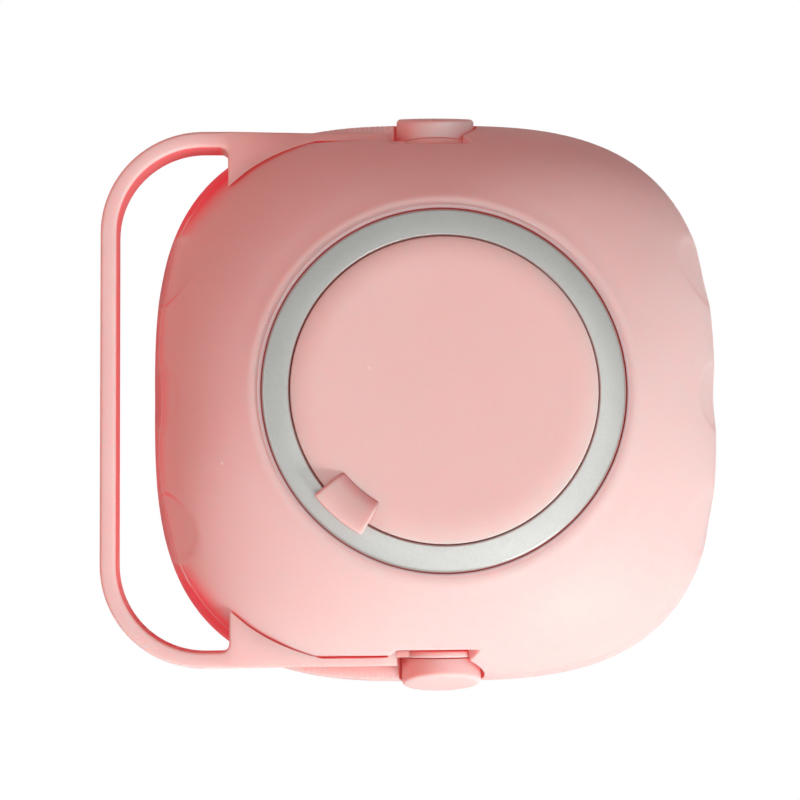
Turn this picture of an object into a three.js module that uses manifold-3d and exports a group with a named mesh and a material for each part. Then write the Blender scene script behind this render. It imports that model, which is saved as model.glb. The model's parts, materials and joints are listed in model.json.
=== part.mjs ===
// A hand-held silicone bath brush: a squarish domed squeeze bottle with a bristle pad below,
// a plug lid with a pull tab in a rigid ring on top, and a hand strap that swings on two studs.
// Millimetres, +Z up. The origin is under the centre of the body, on the plane of the bristle tips.
import * as THREE from "three";
import { mergeVertices } from "three/addons/utils/BufferGeometryUtils.js";
import Module from "manifold-3d";

const wasm = await Module();
wasm.setup();

// ---- driving dimensions ----
const BODY = { halfX: 42.5, halfY: 42.15, rise: 25.5, riseBend: 2.3, drop: 16, dropBend: 2.8 };
const WAIST_Z = 24; // level of the widest outline
const SEAM_Z = 21.4; // where the upper shell meets the bristle pad
const PAD_Z = 12; // underside of the pad, and so the length of the bristles
const RING_Z = 45.2; // rim of the dome around the bezel
const SQUARENESS = 3.1; // superellipse exponent of the widest outline, 2 at the rim
const WALL = 3.2;
const GAP = 0.3; // running gap between neighbouring pieces

const STUD = { z: 31, neckR: 2.6, headR: 5.8, headY: 42.35, headTilt: 14, seatY: 38.4, rootY: 31.2 };
const SEAT = { boreR: 6.25, floorY: 37.0, neckR: 9.6, armR: 24.2, armY: 37.75, from: -6, to: 126 };
const STRAP = {
  front: 35.6,
  back: 30.6,
  loopBack: 29.2,
  outY: 39.4,
  armY: 38.05,
  bandY: 37.0,
  barX: -49.7,
  bandX: -47.3,
  bendX: -34.6,
  earX: -31.0,
  eyeR: 5.8,
  eyeHoleR: 3.0,
  eyeIn: 37.2,
  eyeOut: 38.2,
};
const RING = { outR: 25.95, inR: 22.1, top: 45.6, neckOut: 21.2, boreR: 19.3, seatZ: 42.8, foot: 35.6 };
const LID = { r: 21.75, under: 43.1, top: 46.4, skirtOut: 18.7, skirtIn: 16.4, foot: 36.8 };
const TAB = { angle: 229.2, halfAngle: 10.5, inR: 18.7, outR: 23.9, top: 48.3 };
const BRISTLE = { pitch: 6.6, rootR: 1.75, tipR: 0.85, reach: 33 };

// ---- materials ----
const SILICONE = new THREE.MeshStandardMaterial({ color: 0xeab5af, roughness: 0.62, metalness: 0 });
const RING_PLASTIC = new THREE.MeshStandardMaterial({ color: 0xbcc3ba, roughness: 0.38, metalness: 0.35 });
const CLEAR_SEAL = new THREE.MeshStandardMaterial({ color: 0xe8e4e0, roughness: 0.5, metalness: 0 });
const SLEEVE_PLASTIC = new THREE.MeshStandardMaterial({ color: 0xe9e9e6, roughness: 0.45, metalness: 0 });

const radians = THREE.MathUtils.degToRad;

// ---- from three.js geometry to solids and back ----
function solid(geometry) {
  const plain = geometry.clone();
  plain.deleteAttribute("normal");
  plain.deleteAttribute("uv");
  const merged = mergeVertices(plain, 1e-4);
  const triVerts = new Uint32Array(merged.index.array);
  const vertProperties = new Float32Array(merged.attributes.position.array);
  return new wasm.Manifold(new wasm.Mesh({ numProp: 3, vertProperties, triVerts }));
}

function meshOf(name, shape, material) {
  const made = shape.getMesh();
  const geometry = new THREE.BufferGeometry();
  geometry.setAttribute("position", new THREE.BufferAttribute(made.vertProperties, 3));
  geometry.setIndex(new THREE.BufferAttribute(made.triVerts, 1));
  geometry.computeVertexNormals();
  const mesh = new THREE.Mesh(geometry, material);
  mesh.name = name;
  return mesh;
}

const joined = (shapes) => shapes.reduce((sum, shape) => sum.add(shape));

// A ring or disc about the Z axis from its section, a list of [radius, z] running anticlockwise.
function turned(section, segments) {
  const points = section.map(([r, z]) => new THREE.Vector2(r, z));
  if (section[0][0] > 0) points.push(points[0].clone());
  return solid(new THREE.LatheGeometry(points, segments).rotateX(Math.PI / 2));
}

// An outline in the XY plane, raised from z0 to z1.
function raised(shape, z0, z1, curveSegments = 10) {
  const geometry = new THREE.ExtrudeGeometry(shape, { depth: z1 - z0, bevelEnabled: false, curveSegments });
  return solid(geometry.translate(0, 0, z0));
}

// An outline drawn in the XZ plane, given thickness along Y from y0 to y1.
function acrossY(shape, y0, y1, curveSegments = 10) {
  const geometry = new THREE.ExtrudeGeometry(shape, { depth: y1 - y0, bevelEnabled: false, curveSegments });
  return solid(geometry.rotateX(Math.PI / 2).translate(0, y1, 0));
}

// A round bar along Y about the stud axis.
function barAlongY(radius, y0, y1, segments = 24) {
  const geometry = new THREE.CylinderGeometry(radius, radius, y1 - y0, segments);
  return solid(geometry.translate(0, (y0 + y1) / 2, STUD.z));
}

function polygon(points) {
  return new THREE.Shape(points.map(([x, y]) => new THREE.Vector2(x, y)));
}

// A pie slice about the stud axis, in the XZ plane. Angles rise from -X towards +Z.
function slice(radius, fromDegrees, toDegrees) {
  const start = radians(180 - fromDegrees);
  const shape = new THREE.Shape();
  shape.moveTo(0, STUD.z);
  shape.lineTo(radius * Math.cos(start), STUD.z + radius * Math.sin(start));
  shape.absarc(0, STUD.z, radius, start, radians(180 - toDegrees), true);
  shape.closePath();
  return shape;
}

// ---- the body's outer form ----
// Half size of the outline at a level, as a share of the widest, for a form grown by g all round.
function halfShare(z, g) {
  const up = z > WAIST_Z;
  const reach = (up ? BODY.rise : BODY.drop) + g;
  const bend = up ? BODY.riseBend : BODY.dropBend;
  const t = Math.min(Math.abs(z - WAIST_Z) / reach, 1);
  return Math.pow(1 - Math.pow(t, bend), 1 / bend);
}

function exponentAt(z) {
  const t = THREE.MathUtils.clamp((z - WAIST_Z) / (RING_Z - WAIST_Z), 0, 1);
  return SQUARENESS - (SQUARENESS - 2) * t * t;
}

// A lathe of unit radius, pushed out to the rounded-square outline at each level.
function bodyForm(g, z0, z1, segments, levels) {
  const profile = [new THREE.Vector2(0, z0)];
  for (let i = 0; i <= levels; i++) profile.push(new THREE.Vector2(1, z0 + ((z1 - z0) * i) / levels));
  profile.push(new THREE.Vector2(0, z1));
  const geometry = new THREE.LatheGeometry(profile, segments).rotateX(Math.PI / 2);
  const position = geometry.getAttribute("position");
  for (let i = 0; i < position.count; i++) {
    const x = position.getX(i);
    const y = position.getY(i);
    const z = position.getZ(i);
    const n = exponentAt(z);
    const size = Math.hypot(x, y);
    if (size < 0.5) continue;
    const squared = halfShare(z, g) / Math.pow(Math.abs(x) ** n + Math.abs(y) ** n, 1 / n);
    position.setXY(i, x * squared * (BODY.halfX + g), y * squared * (BODY.halfY + g));
  }
  return solid(geometry);
}

// The same cut or piece on both sides, mirrored in the XZ plane.
const bothSides = (make) => joined([make(), make().mirror([0, 1, 0])]);

// ---- upper shell ----
function mouth() {
  const top = RING_Z + 3;
  const section = [
    [0, 30],
    [RING.neckOut + 0.4, 30],
    [RING.neckOut + 0.4, 40.9],
    [24.95, 40.9],
    [24.95, 42.9],
    [RING.outR + 0.4, 42.9],
    [RING.outR + 0.4, top],
    [0, top],
  ];
  return turned(section, 48);
}

function strapSeat() {
  const outside = BODY.halfY + 3;
  return joined([
    barAlongY(SEAT.boreR, SEAT.floorY, outside),
    acrossY(slice(SEAT.neckR, SEAT.from, SEAT.to), SEAT.floorY, outside),
    acrossY(slice(SEAT.armR, SEAT.from, SEAT.to), SEAT.armY, outside),
    barAlongY(STUD.neckR + GAP, STUD.rootY - GAP, outside, 16),
    barAlongY(4.2 + GAP, STUD.rootY - GAP, STUD.rootY + 1.4 + GAP, 16),
  ]);
}

const studBoss = () => barAlongY(7, 29.6, 36, 20);

// Three shallow finger dimples in each of the two side walls.
function fingerDimples() {
  const dimples = [];
  for (const side of [-1, 1])
    for (const row of [-1, 0, 1]) {
      const bulge = new THREE.SphereGeometry(1, 14, 9).scale(1.5, 5.6, 6.6);
      const edge = (BODY.halfX - 0.55) * (row ? 0.973 : 1);
      bulge.rotateY(side * radians(-20)).rotateZ(side * row * radians(9));
      dimples.push(solid(bulge.translate(side * edge, row * 18.7, 32)));
    }
  return joined(dimples);
}

function upperShell() {
  const flatSides = solid(new THREE.BoxGeometry(90, 68.8, 60).translate(0, 0, 30));
  const reservoir = bodyForm(-WALL, SEAM_Z - 2, 37.9, 36, 5).intersect(flatSides);
  return bodyForm(0, SEAM_Z, RING_Z, 60, 11)
    .subtract(reservoir)
    .add(bothSides(studBoss))
    .subtract(bothSides(strapSeat))
    .subtract(fingerDimples())
    .subtract(mouth());
}

// ---- bristle pad ----
// Staggered rows of bristles that fill the underside, and small holes between the middle ones.
function bristleSpots() {
  const spots = [];
  const rows = Math.floor(BRISTLE.reach / (BRISTLE.pitch * 0.87));
  for (let row = -rows; row <= rows; row++) {
    const y = row * BRISTLE.pitch * 0.87;
    const shift = row % 2 ? BRISTLE.pitch / 2 : 0;
    for (let column = -6; column <= 6; column++) {
      const x = column * BRISTLE.pitch + shift;
      const outline = (Math.abs(x) ** 3.1 + Math.abs(y) ** 3.1) ** (1 / 3.1);
      if (outline <= BRISTLE.reach) spots.push([x, y]);
    }
  }
  return spots;
}

function bristlePad() {
  const hollow = bodyForm(-WALL, PAD_Z + 2.6, SEAM_Z + 2, 36, 4);
  const holes = [];
  for (let i = 0; i < 12; i++) {
    const row = i < 4 ? 0 : 1;
    const angle = row ? ((i - 4) / 8) * 2 * Math.PI : (i / 4 + 1 / 8) * 2 * Math.PI;
    const place = new THREE.CylinderGeometry(0.6, 0.6, 6, 6).rotateX(Math.PI / 2);
    const r = row ? 14.3 : 3.8;
    holes.push(solid(place.translate(r * Math.cos(angle), r * Math.sin(angle), PAD_Z + 1)));
  }
  const bristles = bristleSpots().map(([x, y]) => {
    const bristle = new THREE.CylinderGeometry(BRISTLE.rootR, BRISTLE.tipR, PAD_Z + 0.6, 6);
    return solid(bristle.rotateX(Math.PI / 2).translate(x, y, (PAD_Z + 0.6) / 2));
  });
  return bodyForm(0, PAD_Z, SEAM_Z, 60, 5).subtract(hollow).subtract(joined(holes)).add(joined(bristles));
}

// ---- ring, sleeve and lid ----
function bezelRing() {
  return turned(
    [
      [RING.boreR, RING.foot],
      [RING.neckOut, RING.foot],
      [RING.neckOut, 41.2],
      [24.6, 41.2],
      [24.6, 43.2],
      [RING.outR, 43.2],
      [RING.outR, RING.top - 0.4],
      [RING.outR - 0.4, RING.top],
      [RING.inR + 0.4, RING.top],
      [RING.inR, RING.top - 0.4],
      [RING.inR, RING.seatZ],
      [RING.boreR, RING.seatZ],
    ],
    48,
  );
}

function neckSleeve() {
  const inR = RING.neckOut + GAP;
  return turned([[inR, 33.6], [inR + 1.8, 33.6], [inR + 1.8, 35.9], [26, 35.9], [26, 37.6], [inR, 37.6]], 36);
}

function tab() {
  const { angle, halfAngle, inR, outR, top } = TAB;
  const sector = new THREE.Shape();
  sector.absarc(0, 0, outR, radians(angle - halfAngle), radians(angle + halfAngle), false);
  sector.absarc(0, 0, inR - 1, radians(angle + halfAngle), radians(angle - halfAngle), true);
  sector.closePath();
  const ramp = turned(
    [
      [inR - 1, LID.top - 0.5],
      [LID.r - 0.4, LID.top - 0.5],
      [outR, LID.top - 0.1],
      [outR, top - 0.5],
      [outR - 0.5, top],
      [inR, LID.top + 0.1],
      [inR - 1, LID.top - 0.1],
    ],
    96,
  );
  return raised(sector, LID.top - 2, top + 1, 8).intersect(ramp);
}

function lid() {
  const { r, under, top, skirtOut, skirtIn, foot } = LID;
  const cap = turned(
    [
      [0, 42.6],
      [skirtIn, 42.6],
      [skirtIn, foot],
      [skirtOut - 0.4, foot],
      [skirtOut, foot + 0.4],
      [skirtOut, 39],
      [17.6, 39],
      [17.6, 40.6],
      [skirtOut, 40.6],
      [skirtOut, under],
      [r, under],
      [r, top - 0.9],
      [r - 0.3, top - 0.3],
      [r - 0.9, top],
      [0, top],
    ],
    48,
  );
  return cap.add(tab());
}

const lidSeal = () => turned([[17.8, 39.2], [18.8, 39.2], [19.1, 39.8], [18.8, 40.4], [17.8, 40.4]], 36);

// ---- hand strap ----
// Seen from above: a band that runs round the loop, outside line first and then back inside.
function loopBand() {
  const { outY, bandY, barX, bandX, bendX, earX } = STRAP;
  const centreY = outY - (bendX - barX);
  const outR = bendX - barX;
  const inR = bendX - bandX;
  const shape = new THREE.Shape();
  shape.moveTo(earX + 6, outY);
  shape.lineTo(bendX, outY);
  shape.absarc(bendX, centreY, outR, radians(90), radians(180), false);
  shape.absarc(bendX, -centreY, outR, radians(180), radians(270), false);
  shape.lineTo(earX + 6, -outY);
  shape.lineTo(earX + 6, -bandY);
  shape.lineTo(bendX, -bandY);
  shape.absarc(bendX, -centreY, inR, radians(270), radians(180), true);
  shape.absarc(bendX, centreY, inR, radians(180), radians(90), true);
  shape.lineTo(earX + 6, bandY);
  shape.closePath();
  return raised(shape, STRAP.loopBack, STRAP.front, 9);
}

// The flat ear between the straight outer line and the body's rounded corner.
function ear() {
  const { earX, outY, back, front } = STRAP;
  const plan = polygon([[earX, 26], [-12, 26], [-12, outY], [earX, outY]]);
  return raised(plan, back, front);
}

// The arm from the ear to the eye, with a step inwards so that the eye goes under the stud's head.
function arm() {
  const { back, front, outY, armY, eyeIn, eyeOut, eyeR } = STRAP;
  const low = back + 0.1;
  const along = polygon([[-23, back], [-6.6, low], [-6.6, 34.6], [-8.1, front], [-23, front]]);
  const step = polygon([[-8, low], [-6.6, low], [-6.6, 34.6], [-8, 35.4]]);
  const plate = polygon([[-8, low], [-2, low], [-2, 32.1], [-8, 35.4]]);
  return joined([
    acrossY(along, armY, outY),
    acrossY(step, eyeIn, outY),
    acrossY(plate, eyeIn, eyeOut),
    barAlongY(eyeR, eyeIn, eyeOut),
  ]);
}

function handStrap() {
  const clearOfBody = joined([loopBand(), bothSides(ear)]).subtract(bodyForm(GAP + 0.1, SEAM_Z, RING_Z, 60, 11));
  const eyeHoles = bothSides(() => barAlongY(STRAP.eyeHoleR, 30, 50, 16));
  return clearOfBody.add(bothSides(arm)).subtract(eyeHoles);
}

// ---- strap studs ----
// A head with its face laid back along the dome, a neck through the eye and a mushroom root.
function stud() {
  const { z, neckR, headR, headY, headTilt, seatY, rootY } = STUD;
  const disc = new THREE.CylinderGeometry(headR - 0.5, headR, 0.5, 28).translate(0, -0.25, 0);
  const drum = new THREE.CylinderGeometry(headR, headR, 5, 28).translate(0, -3, 0);
  const tilted = joined([disc, drum].map((g) => solid(g.rotateX(radians(headTilt)).translate(0, headY, z))));
  const head = tilted.intersect(barAlongY(headR + 0.25, seatY, headY + 3, 28));
  return joined([head, barAlongY(neckR, rootY, seatY + 0.5, 16), barAlongY(4.2, rootY, rootY + 1.4, 16)]);
}

// ---- assembly ----
const group = new THREE.Group();
const fixed = new THREE.Group();
fixed.add(meshOf("upper_shell", upperShell(), SILICONE));
fixed.add(meshOf("bristle_pad", bristlePad(), SILICONE));
fixed.add(meshOf("bezel_ring", bezelRing(), RING_PLASTIC));
fixed.add(meshOf("neck_sleeve", neckSleeve(), SLEEVE_PLASTIC));
fixed.add(meshOf("strap_stud_back", stud(), SILICONE));
fixed.add(meshOf("strap_stud_front", stud().mirror([0, 1, 0]), SILICONE));

const plug = new THREE.Group();
plug.add(meshOf("lid", lid(), SILICONE));
plug.add(meshOf("lid_seal", lidSeal(), CLEAR_SEAL));

group.add(fixed, plug, meshOf("hand_strap", handStrap(), SILICONE));

export default group;
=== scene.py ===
# Looks of the silicone bath brush: soft body with a bristle pad, grey ring, plug lid and hand strap.
# Every shape is worked out in millimetres in the brush's own frame and scaled to metres when it is done.
import json
from math import atan2, cos, degrees, hypot, pi, radians, sin

import bmesh
import bpy
from mathutils import Matrix, Vector


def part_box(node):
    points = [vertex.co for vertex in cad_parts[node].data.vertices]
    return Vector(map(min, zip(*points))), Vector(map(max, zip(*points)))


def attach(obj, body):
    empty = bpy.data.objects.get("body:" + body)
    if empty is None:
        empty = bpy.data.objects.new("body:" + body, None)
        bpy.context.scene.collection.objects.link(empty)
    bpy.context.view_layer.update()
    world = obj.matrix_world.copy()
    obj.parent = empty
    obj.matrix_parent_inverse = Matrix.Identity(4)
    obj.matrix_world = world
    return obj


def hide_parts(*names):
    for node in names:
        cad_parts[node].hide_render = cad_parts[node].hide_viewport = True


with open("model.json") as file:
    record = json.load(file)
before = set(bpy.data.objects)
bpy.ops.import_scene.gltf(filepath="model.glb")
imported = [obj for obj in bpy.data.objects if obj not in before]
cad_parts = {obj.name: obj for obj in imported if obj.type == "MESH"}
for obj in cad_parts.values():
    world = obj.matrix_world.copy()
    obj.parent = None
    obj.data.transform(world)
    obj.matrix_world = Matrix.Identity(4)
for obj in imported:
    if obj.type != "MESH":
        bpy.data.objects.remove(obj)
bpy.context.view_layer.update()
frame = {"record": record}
MM = 0.001


def box_mm(node):
    low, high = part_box(node)
    return [c / MM for c in low], [c / MM for c in high]


# ---- sizes read off the frame ----
SHELL_LOW, SHELL_HIGH = box_mm("upper_shell")
RING_LOW, RING_HIGH = box_mm("bezel_ring")
LID_LOW, LID_HIGH = box_mm("lid")
SEAL_LOW, SEAL_HIGH = box_mm("lid_seal")
SLEEVE_LOW, SLEEVE_HIGH = box_mm("neck_sleeve")
STRAP_LOW, STRAP_HIGH = box_mm("hand_strap")
SWING = next(j for j in frame["record"]["behaviour"]["joints"] if j["name"] == "strap_swing")
STUD_Z = SWING["pos_m"][2] / MM

HALF_X = SHELL_HIGH[0]
HALF_Y = SHELL_HIGH[1]
SEAM_Z = SHELL_LOW[2]
RIM_Z = SHELL_HIGH[2]
RING_R = RING_HIGH[0]
RING_TOP = RING_HIGH[2]
RING_FOOT = RING_LOW[2]

# ---- form of the body ----
WAIST_Z = 24
RISE, RISE_BEND = 25.5, 2.3
DROP, DROP_BEND = 16, 2.8
SQUARENESS = 3.1
WALL = 3.2
PAD_Z = 12
FLAT_SIDE_Y = 34.4

# ---- strap, seat and stud ----
EYE_R, EYE_HOLE_R, EYE_IN, EYE_OUT = 5.8, 3.0, 37.2, 38.2
ARM_Y, BAND_Y = 38.05, 37.0
SEAT_BORE_R, SEAT_FLOOR_Y, SEAT_NECK_R, SEAT_ARM_R, SEAT_ARM_Y = 6.05, 37.0, 9.6, 24.2, 37.75
SEAT_FROM, SEAT_TO = -6, 126
HEAD_R, HEAD_Y, HEAD_TILT, HEAD_SEAT_Y = 5.8, 42.35, 14, 38.4
STUD_NECK_R, STUD_ROOT_Y, STUD_ROOT_R = 2.6, 31.2, 4.2

# ---- ring and lid ----
RING_IN_R, RING_NECK_R, RING_BORE_R, RING_SEAT_Z = 22.1, 21.2, 19.3, 42.8
LID_R, LID_TOP, LID_UNDER, SKIRT_OUT, SKIRT_IN = 21.92, 46.4, 43.1, 18.7, 16.4
TAB_ANGLE, TAB_HALF, TAB_IN, TAB_OUT = 229.2, 10.5, 18.5, 23.9
TAB_TOP = LID_HIGH[2]
LID_CROWN, LID_FALL, SHOULDER_WIDE = 0.08, 0.62, 4.2


# ---------------------------------------------------------------- helpers
def smooth(low, high, value):
    t = min(max((value - low) / (high - low), 0), 1)
    return t * t * (3 - 2 * t)


def mix(a, b, t):
    return a + (b - a) * t


def rounded(corners, steps=4):
    """A closed outline with its corners rounded. A corner is (a, b, radius)."""
    points = []
    for i, (a, b, radius) in enumerate(corners):
        here = Vector((a, b))
        before = (Vector(corners[i - 1][:2]) - here).normalized()
        after = (Vector(corners[(i + 1) % len(corners)][:2]) - here).normalized()
        if not radius:
            points.append((a, b))
            continue
        half = before.angle(after) / 2
        middle = here + (before + after).normalized() * (radius / sin(half))
        reach = radius * cos(half) / sin(half)
        start = here + before * reach - middle
        turn = start.angle_signed(here + after * reach - middle)
        for k in range(steps + 1):
            spot = start.copy()
            spot.rotate(Matrix.Rotation(-turn * k / steps, 2))
            points.append(tuple(middle + spot))
    return points


def spun(bm, profile, steps, closed=True):
    """Spins a profile of (radius, z) points about the Z axis into bm, and gives back its new vertices."""
    before = set(bm.verts)
    line = [bm.verts.new((r, 0, z)) for r, z in profile]
    edges = [bm.edges.new(pair) for pair in zip(line, line[1:])]
    if closed:
        edges.append(bm.edges.new((line[-1], line[0])))
    geometry = line + edges
    bmesh.ops.spin(
        bm, geom=geometry, cent=(0, 0, 0), axis=(0, 0, 1), dvec=(0, 0, 0), angle=2 * pi,
        steps=steps, use_merge=True, use_duplicate=False,
    )
    fresh = [v for v in bm.verts if v not in before]
    bmesh.ops.remove_doubles(bm, verts=fresh, dist=0.004)
    return [v for v in bm.verts if v not in before]


def turned_to_y(bm, verts, side, tilt=0, at=(0, 0, 0)):
    """Turns a spun shape so that its Z axis points out of the brush's side, laid back by tilt."""
    turn = Matrix.Rotation(radians(-90 * side), 4, "X")
    lean = Matrix.Rotation(radians(tilt * side), 4, "X")
    place = Matrix.Translation((at[0], at[1] * side, at[2]))
    bmesh.ops.transform(bm, matrix=place @ lean @ turn, verts=verts)


def put_in_order(bm):
    """Lists vertices, edges and faces by their place, so that every run works through them alike."""
    def place(point):
        x, y, z = (round(c / MM) + 50000 for c in point)
        return (z * 100000 + y) * 100000 + x

    bm.verts.sort(key=lambda v: place(v.co))
    bm.edges.sort(key=lambda e: place((e.verts[0].co + e.verts[1].co) / 2))
    bm.faces.sort(key=lambda f: place(f.calc_center_median()))


def finished(name, bm, body, material, nodes=(), sharp=40):
    """Makes a piece of bm: normals out, scaled to metres, riding on its body."""
    put_in_order(bm)
    bmesh.ops.remove_doubles(bm, verts=bm.verts, dist=0.003)
    bmesh.ops.dissolve_degenerate(bm, edges=bm.edges, dist=0.001)
    put_in_order(bm)
    bmesh.ops.recalc_face_normals(bm, faces=bm.faces)
    bmesh.ops.scale(bm, vec=(MM, MM, MM), verts=bm.verts)
    mesh = bpy.data.meshes.new(name)
    bm.to_mesh(mesh)
    bm.free()
    mesh.shade_smooth()
    mesh.set_sharp_from_angle(angle=radians(sharp))
    mesh.materials.append(material)
    piece = bpy.data.objects.new(name, mesh)
    bpy.context.scene.collection.objects.link(piece)
    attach(piece, body)
    if nodes:
        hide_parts(*nodes)


# ---------------------------------------------------------------- materials
def node_group(name, inputs, outputs):
    """An empty shader group with its sockets. inputs and outputs are {name: (socket type, default)}."""
    group = bpy.data.node_groups.new(name, "ShaderNodeTree")
    for label, (kind, default) in inputs.items():
        socket = group.interface.new_socket(label, in_out="INPUT", socket_type=kind)
        socket.default_value = default
    for label, (kind, _) in outputs.items():
        group.interface.new_socket(label, in_out="OUTPUT", socket_type=kind)
    return group, group.nodes.new("NodeGroupInput"), group.nodes.new("NodeGroupOutput")


class Graph:
    """Short ways to add and join nodes in one tree."""

    def __init__(self, tree):
        self.tree = tree

    def add(self, kind, links=None, **settings):
        node = self.tree.nodes.new(kind)
        for key, value in settings.items():
            setattr(node, key, value)
        for key, value in (links or {}).items():
            self.join(value, node.inputs[key])
        return node

    def join(self, value, socket):
        if isinstance(value, bpy.types.NodeSocket):
            self.tree.links.new(value, socket)
        else:
            socket.default_value = value

    def maths(self, operation, a, b=0.0, clamp=False):
        return self.add("ShaderNodeMath", {0: a, 1: b}, operation=operation, use_clamp=clamp).outputs[0]

    def ramp(self, value, low, high, to_low=0.0, to_high=1.0):
        links = {"Value": value, "From Min": low, "From Max": high, "To Min": to_low, "To Max": to_high}
        return self.add("ShaderNodeMapRange", links, interpolation_type="SMOOTHSTEP").outputs[0]

    def mixed(self, factor, a, b):
        node = self.add("ShaderNodeMix", data_type="RGBA")
        self.join(factor, node.inputs[0])
        self.join(a, node.inputs[6])
        self.join(b, node.inputs[7])
        return node.outputs[2]

    def noise(self, place, scale, detail=2.0, roughness=0.5):
        links = {"Vector": place, "Scale": scale, "Detail": detail, "Roughness": roughness}
        return self.add("ShaderNodeTexNoise", links).outputs["Fac"]


def make_soft_grain():
    """Height of a moulded soft-touch surface: fine spark grain over very faint waves."""
    group, start, end = node_group(
        "soft_grain",
        {"Place": ("NodeSocketVector", (0, 0, 0)), "Grain Scale": ("NodeSocketFloat", 3200.0)},
        {"Height": ("NodeSocketFloat", 0)},
    )
    g = Graph(group)
    fine = g.noise(start.outputs["Place"], start.outputs["Grain Scale"], 3.0, 0.6)
    waves = g.noise(start.outputs["Place"], 120.0, 2.0)
    g.join(g.maths("ADD", fine, g.maths("MULTIPLY", waves, 0.9)), end.inputs["Height"])
    return group


def make_dust():
    """Sparse lint and dust specks that cling to silicone: a mask for pale ones and one for dark ones."""
    group, start, end = node_group(
        "clinging_dust",
        {"Place": ("NodeSocketVector", (0, 0, 0)), "Spread": ("NodeSocketFloat", 190.0)},
        {"Pale": ("NodeSocketFloat", 0), "Dark": ("NodeSocketFloat", 0)},
    )
    g = Graph(group)
    wobble = g.noise(start.outputs["Place"], 900.0, 2.0)
    cell = g.add("ShaderNodeTexVoronoi", {"Vector": start.outputs["Place"], "Scale": start.outputs["Spread"]})
    reach = g.maths("ADD", cell.outputs["Distance"], g.maths("MULTIPLY", wobble, 0.06))
    speck = g.ramp(reach, 0.062, 0.088, 1.0, 0.0)
    parts = g.add("ShaderNodeSeparateColor", {"Color": cell.outputs["Color"]})
    pale = g.maths("GREATER_THAN", parts.outputs[0], 0.86)
    dark = g.maths("LESS_THAN", parts.outputs[0], 0.07)
    g.join(g.maths("MULTIPLY", speck, pale), end.inputs["Pale"])
    g.join(g.maths("MULTIPLY", speck, dark), end.inputs["Dark"])
    return group


def make_mottle():
    """Slow change of tone across a moulding, from 0 to 1."""
    group, start, end = node_group(
        "tone_mottle",
        {"Place": ("NodeSocketVector", (0, 0, 0)), "Scale": ("NodeSocketFloat", 45.0)},
        {"Tone": ("NodeSocketFloat", 0)},
    )
    g = Graph(group)
    slow = g.noise(start.outputs["Place"], start.outputs["Scale"], 3.0, 0.55)
    g.join(g.ramp(slow, 0.3, 0.7), end.inputs["Tone"])
    return group


SOFT_GRAIN = make_soft_grain()
CLINGING_DUST = make_dust()
TONE_MOTTLE = make_mottle()


def shader(name):
    """A new material with its graph, its Principled BSDF and its object coordinates."""
    material = bpy.data.materials.new(name)
    material.use_nodes = True
    g = Graph(material.node_tree)
    place = g.add("ShaderNodeTexCoord").outputs["Object"]
    return material, g, material.node_tree.nodes["Principled BSDF"], place


# Directions in world space, colours linear. KEY_SIDE points to the key light; the pinks, reds and glows
# below, all but the dust specks, are painted light and painted shade.
KEY_SIDE = (0.55, -0.6, 0.58)
SHADED_PINK = (0.77, 0.285, 0.26)
LIT_PINK = (0.80, 0.575, 0.56)
PAINTED_SHADE_RED = (0.66, 0.01, 0.025)
CREASE_SHADE_RED = (0.70, 0.12, 0.11)
PALE_SPECK = (0.93, 0.82, 0.8)
DARK_SPECK = (0.36, 0.17, 0.15)
CREASE_GLOW = (0.10, 0.022, 0.02)


def make_flank_shade():
    """How much deep red painted shade the silicone takes: on the flank behind the strap that faces -X, and
    most at its corners.
    """
    group, start, end = node_group(
        "flank_painted_shade",
        {"Place": ("NodeSocketVector", (0, 0, 0)), "Normal": ("NodeSocketVector", (0, 0, 1))},
        {"Flank": ("NodeSocketFloat", 0)},
    )
    g = Graph(group)
    parts = g.add("ShaderNodeSeparateXYZ", {"Vector": start.outputs["Normal"]})
    left = g.maths("MULTIPLY", parts.outputs[0], -1.0)
    edge = g.ramp(left, 0.86, 0.99, 0.0, 0.65)
    corner = g.maths("MULTIPLY", left, g.maths("ABSOLUTE", parts.outputs[1]))
    either = g.maths("MAXIMUM", edge, g.ramp(corner, 0.21, 0.38))
    axis = g.add("ShaderNodeSeparateXYZ", {"Vector": start.outputs["Place"]})
    behind_strap = g.ramp(axis.outputs[0], -0.022, -0.03)
    g.join(g.maths("MULTIPLY", either, behind_strap), end.inputs["Flank"])
    return group


def make_inward():
    """Marks faces that look back at the brush's axis, such as the inside of the strap."""
    group, start, end = node_group(
        "inward_face",
        {"Place": ("NodeSocketVector", (0, 0, 0)), "Normal": ("NodeSocketVector", (0, 0, 1))},
        {"Inward": ("NodeSocketFloat", 0)},
    )
    g = Graph(group)
    flat = g.add("ShaderNodeVectorMath", {0: start.outputs["Place"], 1: (1, 1, 0)}, operation="MULTIPLY")
    out = g.add("ShaderNodeVectorMath", {0: flat.outputs[0]}, operation="NORMALIZE")
    pair = {0: out.outputs[0], 1: start.outputs["Normal"]}
    facing = g.add("ShaderNodeVectorMath", pair, operation="DOT_PRODUCT")
    g.join(g.ramp(facing.outputs["Value"], -0.35, -0.8), end.inputs["Inward"])
    return group


FLANK_SHADE_MASK = make_flank_shade()
INWARD_FACE = make_inward()


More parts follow.
